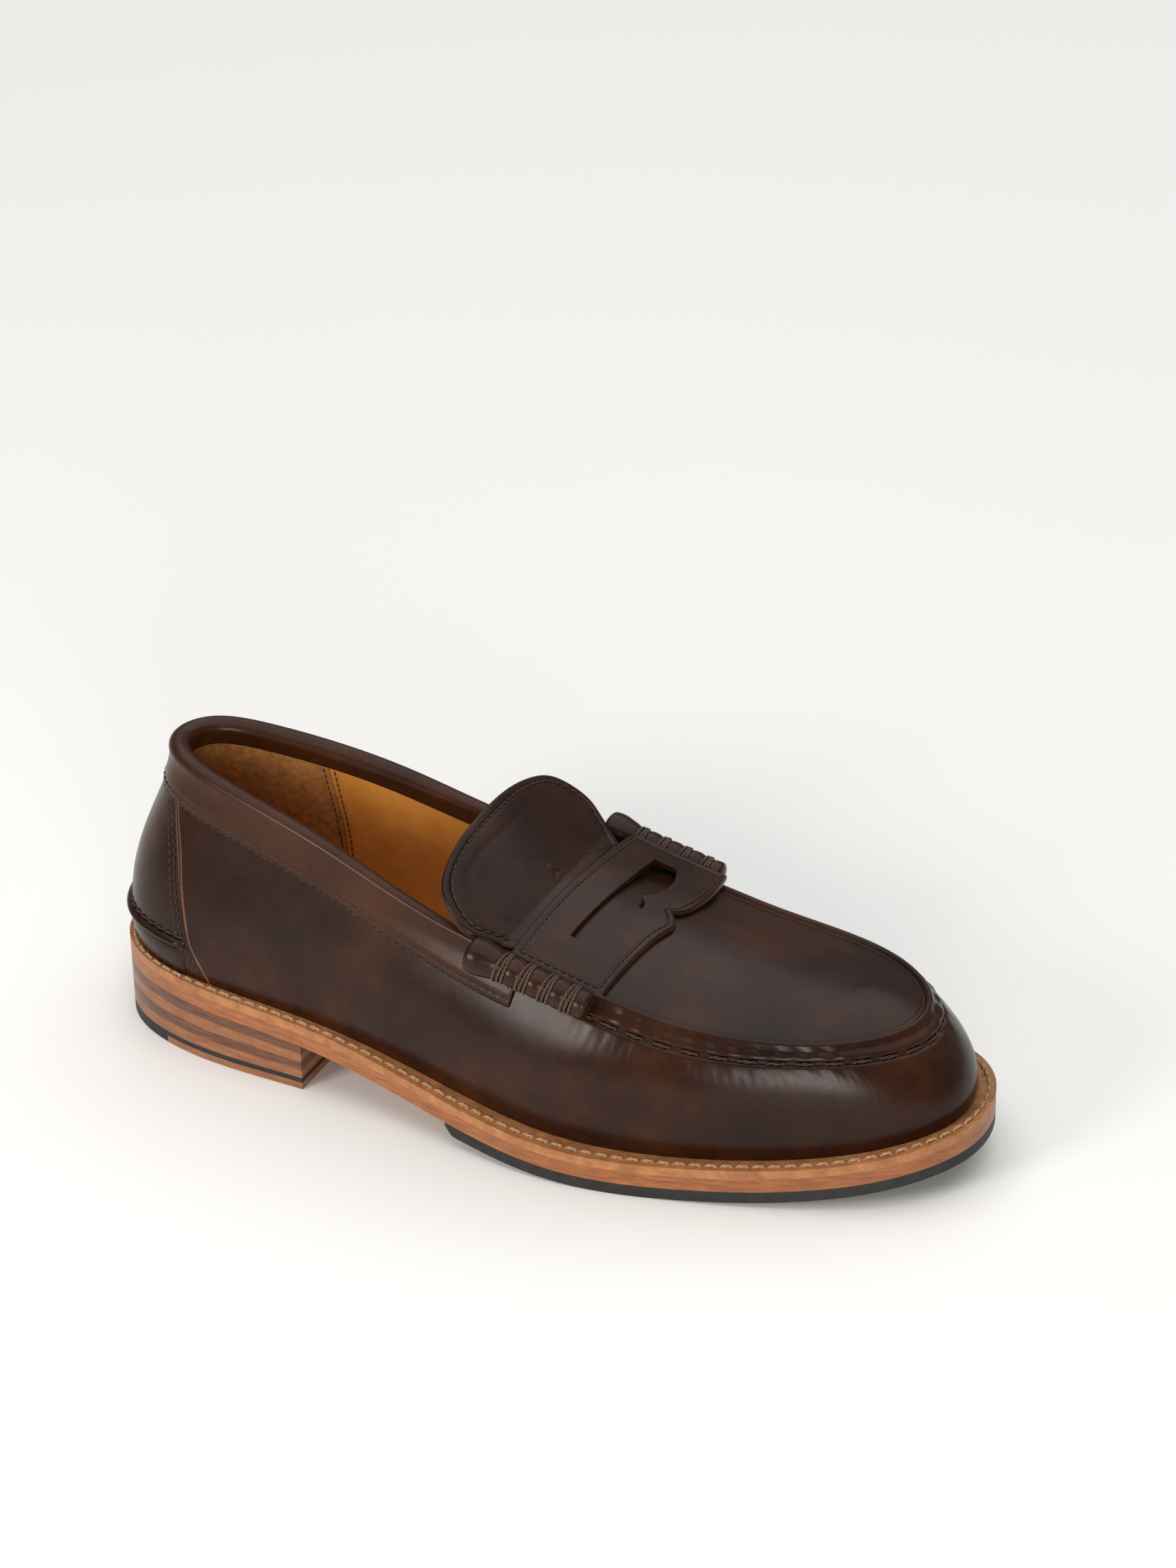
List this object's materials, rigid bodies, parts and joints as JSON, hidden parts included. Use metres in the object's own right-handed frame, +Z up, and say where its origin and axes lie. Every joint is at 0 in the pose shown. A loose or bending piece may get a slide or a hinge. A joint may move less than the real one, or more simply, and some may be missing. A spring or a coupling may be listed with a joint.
{
  "type": "penny loafer",
  "caption": "Right-foot slip-on leather shoe with a hand-sewn apron, slotted saddle strap, hinged tongue, welted sole and stacked heel; worn on the foot",
  "frame": {"origin": "on the floor under the centre of the heel, on the underside of the heel's top piece", "axes": "+X points to the toe, +Y to the inner side of the foot, +Z up"},
  "size_m": [0.2912, 0.1095, 0.0954],
  "materials": {
    "upper_leather": "polished dark brown",
    "collar_leather": "polished reddish brown",
    "lining_leather": "smooth tan",
    "suede": "napped tan",
    "stiffener": "raw fibre board",
    "welt_leather": "burnished tan",
    "sole_leather": "burnished orange brown",
    "dark_lift": "dark stacked leather",
    "rubber": "matt",
    "cork": "granular",
    "steel": "plain",
    "brass": "plain",
    "welt_thread": "waxed linen",
    "waxed_thread": "waxed linen"
  },
  "bodies": {
    "shoe": {"vamp": "upper_leather", "heel_panel": "upper_leather", "apron": "upper_leather", "apron_rim": "upper_leather", "saddle_strap": "upper_leather", "beef_roll_outer": "upper_leather", "beef_roll_inner": "upper_leather", "heel_lower_patch": "upper_leather", "heel_ridge": "upper_leather", "collar_band": "collar_leather", "quarter_lining_outer": "lining_leather", "quarter_lining_inner": "lining_leather", "vamp_lining": "lining_leather", "sock_liner": "lining_leather", "heel_lining": "suede", "heel_counter": "stiffener", "toe_puff": "stiffener", "insole": "stiffener", "insole_rib": "stiffener", "welt": "welt_leather", "leather_outsole": "sole_leather", "heel_lift_1": "sole_leather", "heel_lift_3": "sole_leather", "heel_leather_corner": "sole_leather", "heel_lift_2": "dark_lift", "heel_lift_4": "dark_lift", "rubber_half_sole": "rubber", "rubber_top_piece": "rubber", "cork_filler": "cork", "shank": "steel", "heel_nails": "brass", "welt_stitches": "welt_thread", "roll_thread_outer": "waxed_thread", "roll_thread_inner": "waxed_thread"},
    "tongue": {"tongue": "upper_leather", "tongue_lining": "lining_leather"}
  },
  "joints": [
    {"name": "tongue_lift", "type": "hinge", "parent": "shoe", "child": "tongue", "pos_m": [0.1126, 0.002, 0.0695], "axis": [0, 1, 0], "range_deg": [-5, 32], "stiffness_Nm_per_rad": 0.35}
  ]
}
